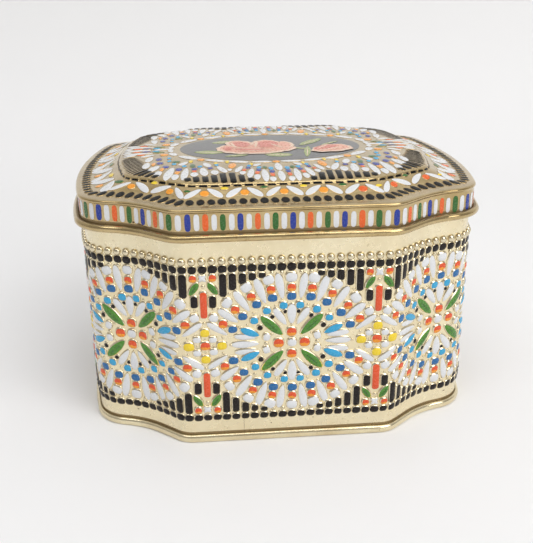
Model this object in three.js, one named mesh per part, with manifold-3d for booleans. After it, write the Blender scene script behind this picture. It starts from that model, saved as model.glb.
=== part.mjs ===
// Hinged presentation tin with a waved (ogee) plan outline, a drawn lid and a wire hinge.
// Millimetres, +Z up, origin at the centre of the footprint on the resting plane, front towards -Y.
import * as THREE from "three";
import Module from "manifold-3d";

// ---- driving dimensions ----
// One quarter of the wall's plan outline, from the front centre to the middle of the right side.
// Each entry is a straight [length] or an arc [radius, end heading in degrees, facets].
const FRONT_HALF = 33.4; // half length of the flat front and of the flat back
const OGEE_START = 41; // heading at the steepest part of the ogee
const OGEE_END = 17; // heading where the ogee runs into the corner lobe
const LOBE_END = 78; // heading where the corner lobe runs into the bowed side
const OUTLINE = [
  { straight: FRONT_HALF, facets: 2 },
  { radius: 8.2, to: OGEE_START, facets: 3 },
  { straight: 8.0, facets: 1 },
  { radius: 34.0, to: OGEE_END, facets: 3 },
  { straight: 2.5, facets: 1 },
  { radius: 13.5, to: LOBE_END, facets: 5 },
  { radius: 192.9, to: 90, facets: 4 },
];
// The raised panel of the lid has a softer outline of its own.
const PANEL = [
  { straight: 24.0, facets: 2 },
  { radius: 22.0, to: 33, facets: 3 },
  { straight: 16.0, facets: 2 },
  { radius: 12.0, to: 76, facets: 4 },
  { radius: 136.0, to: 90, facets: 4 },
];
const MEDALLION_HALF_X = 36.0;
const MEDALLION_HALF_Y = 25.2;

const WALL_T = 0.5; // body sheet
const LID_T = 0.4; // lid sheet
const WALL_BOTTOM = 0.9; // bottom of the body flange inside the seam
const WALL_TOP = 85.2; // folded top edge of the body
const HEM_DEPTH = 4.2; // height of the inward hem
const SEAM_OUT = 1.4; // how far the bottom seam stands proud of the wall
const SEAM_H = 2.8;
const BASE_Z = 3.1; // inside face of the base
const BASE_PANEL_LIFT = 0.8; // pressed step in the base

const SKIRT_IN = 0.8; // inner face of the lid skirt, outside the wall
const SKIRT_OUT = SKIRT_IN + LID_T;
const CURL_R = 1.3; // outer radius of the rolled rim
const CURL_Z = 76.5; // centre height of the rolled rim
const CURL_OFF = SKIRT_IN + CURL_R; // centre of the rolled rim, outside the wall
const CURL_END = 128; // angle at which the rolled rim closes on the skirt

const WIRE_R = 0.6;
const WIRE_HALF = 32.4;
const TONGUE_X = 23.0; // centre of each hinge tongue
const TONGUE_W = 12.4;
const NOTCH_W = 14.0;
const NOTCH_TOP = 78.3;
const TONGUE_FOOT_Z = 66.5;
const TONGUE_T = 0.4;

// ---- plan outlines ----
const RAD = Math.PI / 180;

// Corner points of a quarter outline with the heading at each, starting at the front centre.
function walkQuarter(parts) {
  const pts = [{ x: 0, y: 0, h: 0, s: 0 }];
  let x = 0;
  let y = 0;
  let h = 0;
  let s = 0;
  for (const p of parts) {
    for (let i = 0; i < p.facets; i++) {
      if (p.straight !== undefined) {
        const step = p.straight / p.facets;
        x += step * Math.cos(h);
        y += step * Math.sin(h);
        s += step;
      } else {
        const turn = (p.to * RAD - h) / (p.facets - i);
        const bend = Math.sign(turn);
        const next = h + turn;
        x += bend * p.radius * (Math.sin(next) - Math.sin(h));
        y += bend * p.radius * (Math.cos(h) - Math.cos(next));
        s += p.radius * Math.abs(turn);
        h = next;
      }
      pts.push({ x, y, h, s });
    }
  }
  return pts;
}

// Full closed outline, counter-clockwise from the front centre, centred on the origin.
function closeOutline(quarter) {
  const half = quarter[quarter.length - 1].y;
  const full = quarter[quarter.length - 1].s;
  const out = [];
  const n = quarter.length - 1;
  const add = (q, fx, fy, s) => {
    const nx = Math.sin(q.h) * fx;
    const ny = -Math.cos(q.h) * fy;
    out.push({ x: q.x * fx, y: (q.y - half) * fy, nx, ny, s });
  };
  for (let i = 0; i < n; i++) {
    add(quarter[i], 1, 1, quarter[i].s);
  }
  for (let i = n; i > 0; i--) {
    add(quarter[i], 1, -1, 2 * full - quarter[i].s);
  }
  for (let i = 0; i < n; i++) {
    add(quarter[i], -1, -1, 2 * full + quarter[i].s);
  }
  for (let i = n; i > 0; i--) {
    add(quarter[i], -1, 1, 4 * full - quarter[i].s);
  }
  return out.map((p) => ({ ...p, u: p.s / (4 * full) }));
}

const WALL_LINE = closeOutline(walkQuarter(OUTLINE));
const PANEL_LINE = closeOutline(walkQuarter(PANEL));
const HALF_Y = -WALL_LINE[0].y;

// The point of a closed outline at fraction u of its length.
function atFraction(line, u) {
  const w = ((u % 1) + 1) % 1;
  for (let i = 0; i < line.length; i++) {
    const a = line[i];
    const b = line[(i + 1) % line.length];
    const end = i + 1 === line.length ? 1 : b.u;
    if (w <= end + 1e-9) {
      const t = (w - a.u) / (end - a.u);
      return {
        x: a.x + (b.x - a.x) * t,
        y: a.y + (b.y - a.y) * t,
        nx: a.nx + (b.nx - a.nx) * t,
        ny: a.ny + (b.ny - a.ny) * t,
      };
    }
  }
  return line[0];
}

// ---- rings: one closed loop of points each, all with the same count ----
const wallRing = (off, z) => WALL_LINE.map((p) => [p.x + p.nx * off, p.y + p.ny * off, z]);

const scaledRing = (k, z) => WALL_LINE.map((p) => [p.x * k, p.y * k, z]);

function panelRing(off, z) {
  return WALL_LINE.map((p) => {
    const q = atFraction(PANEL_LINE, p.u);
    return [q.x + q.nx * off, q.y + q.ny * off, z];
  });
}

function medallionRing(k, z) {
  return WALL_LINE.map((p) => {
    const a = (p.u - 0.25) * 2 * Math.PI;
    return [MEDALLION_HALF_X * k * Math.cos(a), MEDALLION_HALF_Y * k * Math.sin(a), z];
  });
}

function curlRing(radius, degrees) {
  const a = degrees * RAD;
  return wallRing(CURL_OFF + radius * Math.cos(a), CURL_Z + radius * Math.sin(a));
}

// ---- solids from rings ----
function signedVolume(pos, idx) {
  let v = 0;
  for (let i = 0; i < idx.length; i += 3) {
    const a = idx[i] * 3;
    const b = idx[i + 1] * 3;
    const c = idx[i + 2] * 3;
    v +=
      pos[a] * (pos[b + 1] * pos[c + 2] - pos[b + 2] * pos[c + 1]) -
      pos[a + 1] * (pos[b] * pos[c + 2] - pos[b + 2] * pos[c]) +
      pos[a + 2] * (pos[b] * pos[c + 1] - pos[b + 1] * pos[c]);
  }
  return v / 6;
}

// Rings joined in order. "closed" joins the last ring to the first; otherwise both ends close on a point.
function solidFromRings(rings, closed) {
  const n = rings[0].length;
  const pos = rings.flat(2);
  const idx = [];
  const joins = closed ? rings.length : rings.length - 1;
  for (let r = 0; r < joins; r++) {
    const a = r * n;
    const b = ((r + 1) % rings.length) * n;
    for (let i = 0; i < n; i++) {
      const j = (i + 1) % n;
      idx.push(a + i, a + j, b + j);
      idx.push(a + i, b + j, b + i);
    }
  }
  if (!closed) {
    for (const [ring, first] of [[rings[0], true], [rings[rings.length - 1], false]]) {
      const start = first ? 0 : (rings.length - 1) * n;
      const tip = pos.length / 3;
      pos.push(0, 0, ring.tipZ);
      for (let i = 0; i < n; i++) {
        const j = (i + 1) % n;
        if (first) {
          idx.push(tip, start + j, start + i);
        } else {
          idx.push(tip, start + i, start + j);
        }
      }
    }
  }
  if (signedVolume(pos, idx) < 0) {
    for (let i = 0; i < idx.length; i += 3) {
      [idx[i + 1], idx[i + 2]] = [idx[i + 2], idx[i + 1]];
    }
  }
  return { pos, idx };
}

// A ring whose middle is filled by a fan meeting at height tipZ.
function tipped(ring, tipZ) {
  ring.tipZ = tipZ;
  return ring;
}

// A profile of [y, z] corners stretched along X between x0 and x1.
function solidAlongX(profile, x0, x1) {
  const n = profile.length;
  const contour = profile.map(([y, z]) => new THREE.Vector2(y, z));
  const tris = THREE.ShapeUtils.triangulateShape(contour, []);
  const pos = [];
  for (const x of [x0, x1]) {
    for (const [y, z] of profile) {
      pos.push(x, y, z);
    }
  }
  const idx = [];
  for (let i = 0; i < n; i++) {
    const j = (i + 1) % n;
    idx.push(i, j, n + j);
    idx.push(i, n + j, n + i);
  }
  for (const [a, b, c] of tris) {
    if (THREE.ShapeUtils.area(contour) > 0) {
      idx.push(c, b, a);
      idx.push(n + a, n + b, n + c);
    } else {
      idx.push(a, b, c);
      idx.push(n + c, n + b, n + a);
    }
  }
  if (signedVolume(pos, idx) < 0) {
    for (let i = 0; i < idx.length; i += 3) {
      [idx[i + 1], idx[i + 2]] = [idx[i + 2], idx[i + 1]];
    }
  }
  return { pos, idx };
}

const boxAlongX = (x0, x1, y0, y1, z0, z1) =>
  solidAlongX([[y0, z0], [y1, z0], [y1, z1], [y0, z1]], x0, x1);

// ---- joining and cutting ----
const wasm = await Module();
wasm.setup();

function toManifold({ pos, idx }) {
  const mesh = new wasm.Mesh({
    numProp: 3,
    vertProperties: new Float32Array(pos),
    triVerts: new Uint32Array(idx),
  });
  mesh.merge();
  return new wasm.Manifold(mesh);
}

function fromManifold(man) {
  const m = man.getMesh();
  return { pos: Array.from(m.vertProperties), idx: Array.from(m.triVerts) };
}

// ---- materials ----
const goldTin = { color: 0xcdb988, metalness: 0.9, roughness: 0.34 };
const lidTin = { color: 0xc7b27f, metalness: 0.9, roughness: 0.32 };
const baseTin = { color: 0xbfae84, metalness: 0.9, roughness: 0.4 };
const wireSteel = { color: 0x9a968c, metalness: 1.0, roughness: 0.3 };
const tongueTin = { color: 0xb8a679, metalness: 0.9, roughness: 0.36 };

const group = new THREE.Group();
group.name = "decorated_tin";

function addNode(name, solid, look) {
  const g = new THREE.BufferGeometry();
  g.setAttribute("position", new THREE.Float32BufferAttribute(solid.pos, 3));
  g.setIndex(solid.idx);
  g.computeVertexNormals();
  const mesh = new THREE.Mesh(g, new THREE.MeshStandardMaterial(look));
  mesh.name = name;
  group.add(mesh);
}

// ---- body wall: one formed sheet, hemmed inwards at the top, flanged outwards into the bottom seam ----
const wallRings = [
  wallRing(-WALL_T, WALL_BOTTOM),
  wallRing(0.6, WALL_BOTTOM),
  wallRing(0.6, WALL_BOTTOM + WALL_T),
  wallRing(0, WALL_BOTTOM + WALL_T),
  wallRing(0, 30),
  wallRing(0, 58),
  wallRing(0, WALL_TOP - 0.6),
  wallRing(-0.18, WALL_TOP - 0.18),
  wallRing(-0.6, WALL_TOP),
  wallRing(-1.02, WALL_TOP - 0.18),
  wallRing(-1.2, WALL_TOP - 0.6),
  wallRing(-1.2, WALL_TOP - HEM_DEPTH),
  wallRing(-WALL_T, WALL_TOP - HEM_DEPTH - 0.3),
  wallRing(-WALL_T, 58),
  wallRing(-WALL_T, 30),
];
let wall = toManifold(solidFromRings(wallRings, true));
// Folded lock seam on the inside of the back wall, where the sheet's two ends meet.
const lockSeam = boxAlongX(-2.6, 2.6, HALF_Y - WALL_T - 0.55, HALF_Y - WALL_T + 0.2, 3.6, WALL_TOP - HEM_DEPTH + 0.5);
wall = wasm.Manifold.union(wall, toManifold(lockSeam));
addNode("body_wall", fromManifold(wall), goldTin);

// ---- base: countersunk sheet whose edge is rolled round the wall's flange ----
const baseRings = [
  tipped(scaledRing(0.84, BASE_Z + BASE_PANEL_LIFT), BASE_Z + BASE_PANEL_LIFT),
  scaledRing(0.86, BASE_Z),
  wallRing(-1.6, BASE_Z),
  wallRing(-0.9, BASE_Z - 0.5),
  wallRing(-0.9, 0.6),
  wallRing(0.9, 0.6),
  wallRing(0.9, SEAM_H - 0.5),
  wallRing(0.4, SEAM_H - 0.5),
  wallRing(0.4, SEAM_H),
  wallRing(SEAM_OUT - 0.35, SEAM_H),
  wallRing(SEAM_OUT, SEAM_H - 0.45),
  wallRing(SEAM_OUT, 0.45),
  wallRing(SEAM_OUT - 0.45, 0),
  wallRing(-0.95, 0),
  wallRing(-SEAM_OUT, 0.45),
  wallRing(-SEAM_OUT, BASE_Z - 1.0),
  wallRing(-1.9, BASE_Z - 0.5),
  scaledRing(0.858, BASE_Z - 0.5),
  tipped(scaledRing(0.838, BASE_Z - 0.5 + BASE_PANEL_LIFT), BASE_Z - 0.5 + BASE_PANEL_LIFT),
];
addNode("base_panel", solidFromRings(baseRings, false), baseTin);

// ---- lid: one drawn sheet, from the medallion out to the rolled rim and back along the underside ----
const CURL_ANGLES = [CURL_END, 90, 45, 0, -45, -90, -135, -180];
const lidRings = [
  tipped(medallionRing(0.5, 92.45), 92.5),
  medallionRing(1.0, 92.3),
  panelRing(-6.5, 91.95),
  panelRing(-2.4, 91.5),
  panelRing(0, 90.8),
  panelRing(0.7, 89.8),
  wallRing(-6.8, 86.9),
  wallRing(-4.5, 86.4),
  wallRing(-1.5, 86.15),
  wallRing(0.5, 86.1),
  wallRing(1.25, 85.85),
  wallRing(1.6, 85.3),
  wallRing(1.5, 84.8),
  wallRing(SKIRT_OUT, 84.4),
];
for (const a of [...CURL_ANGLES].reverse()) {
  lidRings.push(curlRing(CURL_R - LID_T, a));
}
for (const a of CURL_ANGLES) {
  lidRings.push(curlRing(CURL_R, a));
}
lidRings.push(
  wallRing(SKIRT_IN, 84.5),
  wallRing(SKIRT_IN + 0.3, 85.2),
  wallRing(0.3, 85.65),
  wallRing(-1.5, 85.7),
  wallRing(-4.5, 85.95),
  wallRing(-7.1, 86.5),
  panelRing(0.4, 89.4),
  panelRing(-0.4, 90.4),
  panelRing(-2.6, 91.05),
  panelRing(-6.5, 91.5),
  medallionRing(1.0, 91.85),
  tipped(medallionRing(0.5, 92.0), 92.05),
);
let lid = toManifold(solidFromRings(lidRings, false));
// A notch in the rolled rim lets each hinge tongue reach the wire.
for (const side of [-1, 1]) {
  const x = side * TONGUE_X;
  const notch = boxAlongX(x - NOTCH_W / 2, x + NOTCH_W / 2, HALF_Y + 0.5, HALF_Y + 5, CURL_Z - 3, NOTCH_TOP);
  lid = wasm.Manifold.difference(lid, toManifold(notch));
}
addNode("lid_shell", fromManifold(lid), lidTin);

// ---- hinge wire, lying in the rolled rim along the flat back ----
const WIRE_SIDES = 16;
const wireProfile = [];
for (let i = 0; i < WIRE_SIDES; i++) {
  const a = (i * 2 * Math.PI) / WIRE_SIDES;
  wireProfile.push([HALF_Y + CURL_OFF + WIRE_R * Math.cos(a), CURL_Z + WIRE_R * Math.sin(a)]);
}
addNode("hinge_wire", solidAlongX(wireProfile, -WIRE_HALF, WIRE_HALF), wireSteel);

// ---- hinge tongues: strips fixed to the back wall and rolled over the wire ----
const tongueProfile = [];
const addTongue = (off, z) => tongueProfile.push([HALF_Y + off, z]);
const LOOP_ANGLES = [180, 150, 120, 90, 60, 30, 0, -30, -60, -90, -110];
addTongue(0.3 + TONGUE_T, TONGUE_FOOT_Z);
addTongue(0.3 + TONGUE_T, 74.4);
addTongue(SKIRT_IN + TONGUE_T, 75.3);
for (const d of LOOP_ANGLES) {
  const r = CURL_R - TONGUE_T;
  addTongue(CURL_OFF + r * Math.cos(d * RAD), CURL_Z + r * Math.sin(d * RAD));
}
for (const d of [...LOOP_ANGLES].reverse()) {
  addTongue(CURL_OFF + CURL_R * Math.cos(d * RAD), CURL_Z + CURL_R * Math.sin(d * RAD));
}
addTongue(SKIRT_IN, 75.4);
addTongue(0.3, 74.5);
addTongue(0.3, TONGUE_FOOT_Z);
for (const [name, side] of [["hinge_tongue_left", -1], ["hinge_tongue_right", 1]]) {
  const x = side * TONGUE_X;
  addNode(name, solidAlongX(tongueProfile, x - TONGUE_W / 2, x + TONGUE_W / 2), tongueTin);
}

export default group;
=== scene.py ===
import math

import bpy
import numpy as np
from mathutils import Matrix, Vector
from mathutils.bvhtree import BVHTree


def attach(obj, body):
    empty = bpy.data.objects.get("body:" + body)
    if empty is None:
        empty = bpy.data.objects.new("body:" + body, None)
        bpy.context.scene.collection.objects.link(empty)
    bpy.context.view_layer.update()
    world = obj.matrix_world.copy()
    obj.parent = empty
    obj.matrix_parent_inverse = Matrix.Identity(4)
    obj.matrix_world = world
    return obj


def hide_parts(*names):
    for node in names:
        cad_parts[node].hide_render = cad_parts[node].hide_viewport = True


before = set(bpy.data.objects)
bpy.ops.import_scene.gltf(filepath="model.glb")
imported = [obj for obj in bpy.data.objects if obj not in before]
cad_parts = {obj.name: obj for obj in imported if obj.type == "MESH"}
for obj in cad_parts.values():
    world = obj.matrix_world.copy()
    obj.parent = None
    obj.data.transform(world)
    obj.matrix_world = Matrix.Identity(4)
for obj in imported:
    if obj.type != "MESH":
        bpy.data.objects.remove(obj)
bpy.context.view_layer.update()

MM = 0.001
RAD = math.pi / 180
rng = np.random.RandomState(7)

# ---- plan outlines (mm)
OUTLINE = [("line", 33.4), ("arc", 8.2, 41), ("line", 8.0), ("arc", 34.0, 17),
           ("line", 2.5), ("arc", 13.5, 78), ("arc", 192.9, 90)]
PANEL = [("line", 24.0), ("arc", 22.0, 33), ("line", 16.0), ("arc", 12.0, 76), ("arc", 136.0, 90)]


class Outline:
    """A closed outline mirrored from one quarter; s runs counter-clockwise from the front centre."""

    def __init__(self, parts, step=0.12):
        x = y = h = s = 0.0
        rows = [(0.0, 0.0, 0.0, 0.0)]
        for p in parts:
            if p[0] == "line":
                n = max(2, int(p[1] / step))
                for _ in range(n):
                    x += p[1] / n * math.cos(h)
                    y += p[1] / n * math.sin(h)
                    s += p[1] / n
                    rows.append((x, y, h, s))
            else:
                turn = p[2] * RAD - h
                n = max(2, int(p[1] * abs(turn) / step))
                bend = math.copysign(1.0, turn)
                for _ in range(n):
                    k = h + turn / n
                    x += bend * p[1] * (math.sin(k) - math.sin(h))
                    y += bend * p[1] * (math.cos(h) - math.cos(k))
                    h = k
                    s += p[1] * abs(turn) / n
                    rows.append((x, y, h, s))
        q = np.array(rows)
        self.half_y = q[-1, 1]
        self.half_x = q[-1, 0]
        self.quarter = q[-1, 3]
        self.length = 4 * self.quarter
        q[:, 1] -= self.half_y
        nx, ny = np.sin(q[:, 2]), -np.cos(q[:, 2])
        a = np.stack([q[:, 0], q[:, 1], nx, ny, q[:, 3]], 1)
        flip = a[::-1][1:]
        b = np.stack([flip[:, 0], -flip[:, 1], flip[:, 2], -flip[:, 3], self.length / 2 - flip[:, 4]], 1)
        half = np.concatenate([a, b])
        back = half[::-1][1:]
        c = np.stack([-back[:, 0], back[:, 1], -back[:, 2], back[:, 3], self.length - back[:, 4]], 1)
        self.t = np.concatenate([half, c])

    def at(self, s):
        w = np.mod(s, self.length)
        return [np.interp(w, self.t[:, 4], self.t[:, k]) for k in range(4)]

    def point(self, s, off=0.0):
        x, y, nx, ny = self.at(s)
        return x + nx * off, y + ny * off


WALL = Outline(OUTLINE)
PAN = Outline(PANEL)
HY = WALL.half_y
MED_X, MED_Y = 36.0, 25.2


def medallion(u, k=1.0):
    """Points of the medallion's oval, scaled by k; u runs from 0 to 1 from the front centre."""
    a = (u - 0.25) * 2 * math.pi
    return MED_X * k * np.cos(a), MED_Y * k * np.sin(a)


# ---- mesh helpers
def link(ob):
    bpy.context.scene.collection.objects.link(ob)


def make_object(name, verts, faces, materials, body, smooth=True, face_mat=None):
    """A mesh object in metres from points in millimetres, riding on a body of the frame."""
    me = bpy.data.meshes.new(name)
    points = np.asarray(verts) * MM
    me.from_pydata([tuple(v) for v in points], [], [tuple(int(i) for i in f) for f in faces])
    for m in materials:
        me.materials.append(m)
    if face_mat is not None:
        me.polygons.foreach_set("material_index", np.asarray(face_mat, dtype=np.int32))
    me.polygons.foreach_set("use_smooth", [smooth] * len(me.polygons))
    me.update()
    ob = bpy.data.objects.new(name, me)
    link(ob)
    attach(ob, body)
    return ob


def rings_to_mesh(rings, closed=False, tips=(None, None)):
    """Joins rings, (n, 3) arrays, in order. tips are the heights of centre points that close open ends.

    Returns the points, the faces, and for each face the number of the ring it starts from."""
    n = len(rings[0])
    v = [p for r in rings for p in r]
    f = []
    joins = len(rings) if closed else len(rings) - 1
    for r in range(joins):
        a = r * n
        b = ((r + 1) % len(rings)) * n
        for i in range(n):
            j = (i + 1) % n
            f.append((a + i, a + j, b + j, b + i))
    which = [r for r in range(joins) for _ in range(n)]
    for end, z in enumerate(tips):
        if z is None:
            continue
        tip = len(v)
        v.append((0.0, 0.0, z))
        a = 0 if end == 0 else (len(rings) - 1) * n
        for i in range(n):
            j = (i + 1) % n
            f.append((tip, a + j, a + i) if end == 0 else (tip, a + i, a + j))
            which.append(0 if end == 0 else joins - 1)
    return v, f, which


def face_out(v, f):
    """Turns the faces over if the closed mesh is inside out."""
    v = np.asarray(v)
    vol = 0.0
    for p in f:
        for k in range(1, len(p) - 1):
            vol += np.dot(v[p[0]], np.cross(v[p[k]], v[p[k + 1]]))
    return [tuple(reversed(p)) for p in f] if vol < 0 else f


N_U = 528                                 # points round every ring of the sheets
S_U = np.arange(N_U) / N_U * WALL.length
U_U = S_U / WALL.length


def wring(off, z):
    """A level ring at an offset from the wall's outline."""
    x, y = WALL.point(S_U, off)
    return np.stack([x, y, np.full(N_U, float(z))], 1)


def sring(k, z):
    """The wall's outline scaled by k."""
    x, y = WALL.point(S_U, 0)
    return np.stack([x * k, y * k, np.full(N_U, float(z))], 1)


def pring(off, z):
    """A ring at an offset from the lid panel's outline."""
    x, y = PAN.point(U_U * PAN.length, off)
    return np.stack([x, y, np.full(N_U, float(z))], 1)


def mring(k, z):
    """The medallion's oval scaled by k."""
    x, y = medallion(U_U, k)
    return np.stack([x, y, np.full(N_U, float(z))], 1)


def blend_ring(a, b, t, z):
    """A ring that lies between two others."""
    r = a * (1 - t) + b * t
    r[:, 2] = z
    return r


# ---- materials
def new_mat(name, color, metallic=0.0, rough=0.4, coat=0.0, noise=900.0, bump=0.05, rough_var=0.1,
            detail=3.0):
    """One colour, with a fine grain in its bump and its roughness."""
    m = bpy.data.materials.new(name)
    m.use_nodes = True
    nt = m.node_tree
    b = nt.nodes["Principled BSDF"]
    b.inputs["Base Color"].default_value = (*color, 1)
    b.inputs["Metallic"].default_value = metallic
    b.inputs["Roughness"].default_value = rough
    b.inputs["Coat Weight"].default_value = coat
    b.inputs["Coat Roughness"].default_value = 0.12
    tc = nt.nodes.new("ShaderNodeTexCoord")
    nz = nt.nodes.new("ShaderNodeTexNoise")
    nz.inputs["Scale"].default_value = noise
    nz.inputs["Detail"].default_value = detail
    nt.links.new(tc.outputs["Object"], nz.inputs["Vector"])
    bp = nt.nodes.new("ShaderNodeBump")
    bp.inputs["Strength"].default_value = bump
    bp.inputs["Distance"].default_value = 0.0004
    nt.links.new(nz.outputs["Fac"], bp.inputs["Height"])
    nt.links.new(bp.outputs["Normal"], b.inputs["Normal"])
    mr = nt.nodes.new("ShaderNodeMapRange")
    mr.inputs["From Min"].default_value = 0.3
    mr.inputs["From Max"].default_value = 0.7
    mr.inputs["To Min"].default_value = max(0.03, rough - rough_var)
    mr.inputs["To Max"].default_value = min(1.0, rough + rough_var)
    nt.links.new(nz.outputs["Fac"], mr.inputs["Value"])
    nt.links.new(mr.outputs["Result"], b.inputs["Roughness"])
    return m


def gold_mat(name, light, dark, spots, rough, metallic=0.85):
    """Gold lacquer with fine mottling, darker handling marks and a few brown specks."""
    m = new_mat(name, light, metallic, rough, 0.25, 420.0, 0.06, 0.07, 4.0)
    nt = m.node_tree
    b = nt.nodes["Principled BSDF"]
    tc = nt.nodes.new("ShaderNodeTexCoord")
    big = nt.nodes.new("ShaderNodeTexNoise")
    big.inputs["Scale"].default_value = 46.0
    big.inputs["Detail"].default_value = 6.0
    big.inputs["Roughness"].default_value = 0.65
    fine = nt.nodes.new("ShaderNodeTexNoise")
    fine.inputs["Scale"].default_value = 620.0
    fine.inputs["Detail"].default_value = 4.0
    for n in (big, fine):
        nt.links.new(tc.outputs["Object"], n.inputs["Vector"])
    r1 = nt.nodes.new("ShaderNodeValToRGB")
    r1.color_ramp.elements[0].position = 0.34
    r1.color_ramp.elements[0].color = (*dark, 1)
    r1.color_ramp.elements[1].position = 0.62
    r1.color_ramp.elements[1].color = (*light, 1)
    nt.links.new(big.outputs["Fac"], r1.inputs["Fac"])
    r2 = nt.nodes.new("ShaderNodeValToRGB")
    r2.color_ramp.elements[0].position = spots - 0.07
    r2.color_ramp.elements[0].color = (0.62, 0.55, 0.42, 1)
    r2.color_ramp.elements[1].position = spots
    r2.color_ramp.elements[1].color = (1, 1, 1, 1)
    nt.links.new(fine.outputs["Fac"], r2.inputs["Fac"])
    mx = nt.nodes.new("ShaderNodeMix")
    mx.data_type = "RGBA"
    mx.blend_type = "MULTIPLY"
    mx.inputs["Factor"].default_value = 0.75
    nt.links.new(r1.outputs["Color"], mx.inputs[6])
    nt.links.new(r2.outputs["Color"], mx.inputs[7])
    nt.links.new(mx.outputs[2], b.inputs["Base Color"])
    return m


def ink_mat(name, color, rough=0.26, noise=1500):
    """A glossy printed ink."""
    return new_mat(name, color, 0.0, rough, 0.2, noise, 0.08, 0.08)


M_GOLD = gold_mat("gold_body", (0.90, 0.80, 0.56), (0.84, 0.72, 0.47), 0.33, 0.30)
M_GOLD_LID = gold_mat("gold_lid", (0.60, 0.46, 0.24), (0.45, 0.33, 0.15), 0.36, 0.16, 0.94)
M_GOLD_BASE = gold_mat("gold_base", (0.86, 0.76, 0.52), (0.70, 0.58, 0.36), 0.33, 0.14)
M_RELIEF = new_mat("gold_relief", (0.78, 0.69, 0.50), 0.9, 0.18, 0.0, 700, 0.05, 0.06)
M_PEARL = new_mat("gold_pearl", (0.74, 0.65, 0.46), 0.95, 0.11, 0.0, 700, 0.03, 0.04)
M_PLAIN = new_mat("plain_tin", (0.62, 0.61, 0.58), 0.95, 0.32, 0.0, 260, 0.03, 0.03)
M_WIRE = new_mat("wire_steel", (0.55, 0.54, 0.51), 1.0, 0.28, 0.0, 900, 0.08, 0.08)
M_WHITE = new_mat("ink_white", (0.74, 0.75, 0.77), 0.0, 0.3, 0.2, 1500, 0.12, 0.1)
M_BLACK = new_mat("ink_black", (0.012, 0.008, 0.007), 0.0, 0.24, 0.0, 1500, 0.1, 0.08)
M_BLACK_LID = new_mat("ink_black_lid", (0.004, 0.004, 0.004), 0.0, 0.3, 0.0, 1500, 0.05, 0.05)
M_ORANGE = ink_mat("ink_orange", (0.74, 0.085, 0.018))
M_AMBER = ink_mat("ink_amber", (0.88, 0.33, 0.02))
M_YELLOW = ink_mat("ink_yellow", (0.86, 0.63, 0.03))
for _m, level in ((M_BLACK, 0.3), (M_BLACK_LID, 0.12)):
    _m.node_tree.nodes["Principled BSDF"].inputs["Specular IOR Level"].default_value = level
M_GREEN = ink_mat("ink_green", (0.075, 0.25, 0.025))
M_GREEN_D = ink_mat("ink_dark_green", (0.012, 0.06, 0.008), 0.3)
M_BLUE = ink_mat("ink_blue", (0.012, 0.13, 0.35))
M_CYAN = ink_mat("ink_cyan", (0.030, 0.36, 0.64))
M_ROYAL = ink_mat("ink_royal", (0.006, 0.03, 0.29))
M_MED = new_mat("ink_medallion", (0.012, 0.012, 0.014), 0.0, 0.16, 0.3, 500, 0.04, 0.05)
M_PINK = ink_mat("ink_pink", (0.66, 0.16, 0.10), 0.3, 900)
M_ROSE = ink_mat("ink_rose_light", (0.78, 0.34, 0.22), 0.3, 900)
M_CREAM = ink_mat("ink_cream", (0.82, 0.58, 0.42), 0.3, 900)
M_SAGE = ink_mat("ink_sage", (0.30, 0.36, 0.10), 0.3, 900)
# painted shade: a dark brown that stands in for the shade in the crease over the base bead and in the line
# above the lid's rolled rim
M_CREVICE_SHADE = new_mat("painted_crevice_shade", (0.30, 0.215, 0.105), 0.6, 0.4, 0.0, 1100, 0.3, 0.15)
M_WEAR = new_mat("rim_wear", (0.16, 0.10, 0.045), 0.4, 0.45, 0.0, 900, 0.3, 0.15)
M_RELIEF_LID = new_mat("gold_relief_lid", (0.50, 0.38, 0.20), 0.9, 0.24, 0.0, 700, 0.05, 0.06)
M_GREEN_LID = ink_mat("ink_green_lid", (0.022, 0.125, 0.012))
M_ORANGE_LID = ink_mat("ink_orange_lid", (0.78, 0.12, 0.012))

# ---- body wall, base
def arc(c0, c1, r, a0, a1, n):
    """n points of a round stretch of a profile: (offset from the outline, height)."""
    return [(c0 + r * math.cos(a * RAD), c1 + r * math.sin(a * RAD)) for a in np.linspace(a0, a1, n)]


# up the outside of the wall, round the hem at its top edge, and down the inside
wall_prof = [(-0.5, 0.9), (0.6, 0.9), (0.6, 1.4), (0.0, 1.4), (0.0, 2.7), (0.0, 3.75), (0.0, 8.0), (0.0, 36.0),
             (0.0, 70.0), (0.0, 84.5)]
wall_prof += arc(-0.6, 84.6, 0.6, 0, 180, 9)
wall_prof += [(-1.2, 81.2)] + arc(-0.85, 81.1, 0.35, 180, 270, 4)[1:]
wall_prof += [(-0.5, 80.6), (-0.5, 60.0), (-0.5, 20.0)]
# the band from 2.7 to 3.75 mm, just above the base bead, is painted dark brown as the shade in the crease
SHADE_RING, INSIDE_RING = 4, 18
v, f, which = rings_to_mesh([wring(o, z) for o, z in wall_prof], closed=True)
mats = [1 if w >= INSIDE_RING else 2 if w == SHADE_RING else 0 for w in which]
body = make_object("body_sheet", v, face_out(v, f), [M_GOLD, M_PLAIN, M_CREVICE_SHADE], "tin",
                   face_mat=mats)
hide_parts("body_wall")

# the raised floor, the seam over the wall's flange, the round bead, and back under the floor
FLOOR_RINGS = 6
BEAD_OUT, BEAD_Z, BEAD_W, BEAD_H = 0.5, 1.4, 0.9, 1.4
rings = [sring(k, z) for k, z in [(0.84, 3.9), (0.845, 3.85), (0.856, 3.2), (0.862, 3.1)]]
rings += [wring(o, z) for o, z in [(-1.7, 3.1), (-1.2, 2.95), (-0.95, 2.6), (-0.9, 0.7), (-0.6, 0.6),
                                   (0.6, 0.6), (0.9, 0.9), (0.9, 2.1), (0.3, 2.3), (0.12, 2.6), (0.2, 2.78),
                                   (0.4, 2.8)]]
rings += [wring(BEAD_OUT + BEAD_W * math.cos(a * RAD), BEAD_Z + BEAD_H * math.sin(a * RAD))
          for a in range(80, -91, -10)]
rings += [wring(-0.9, 0.0)]
rings += [wring(o, z) for o, z in arc(-0.9, 0.5, 0.5, 270, 180, 5)[1:]]
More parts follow.
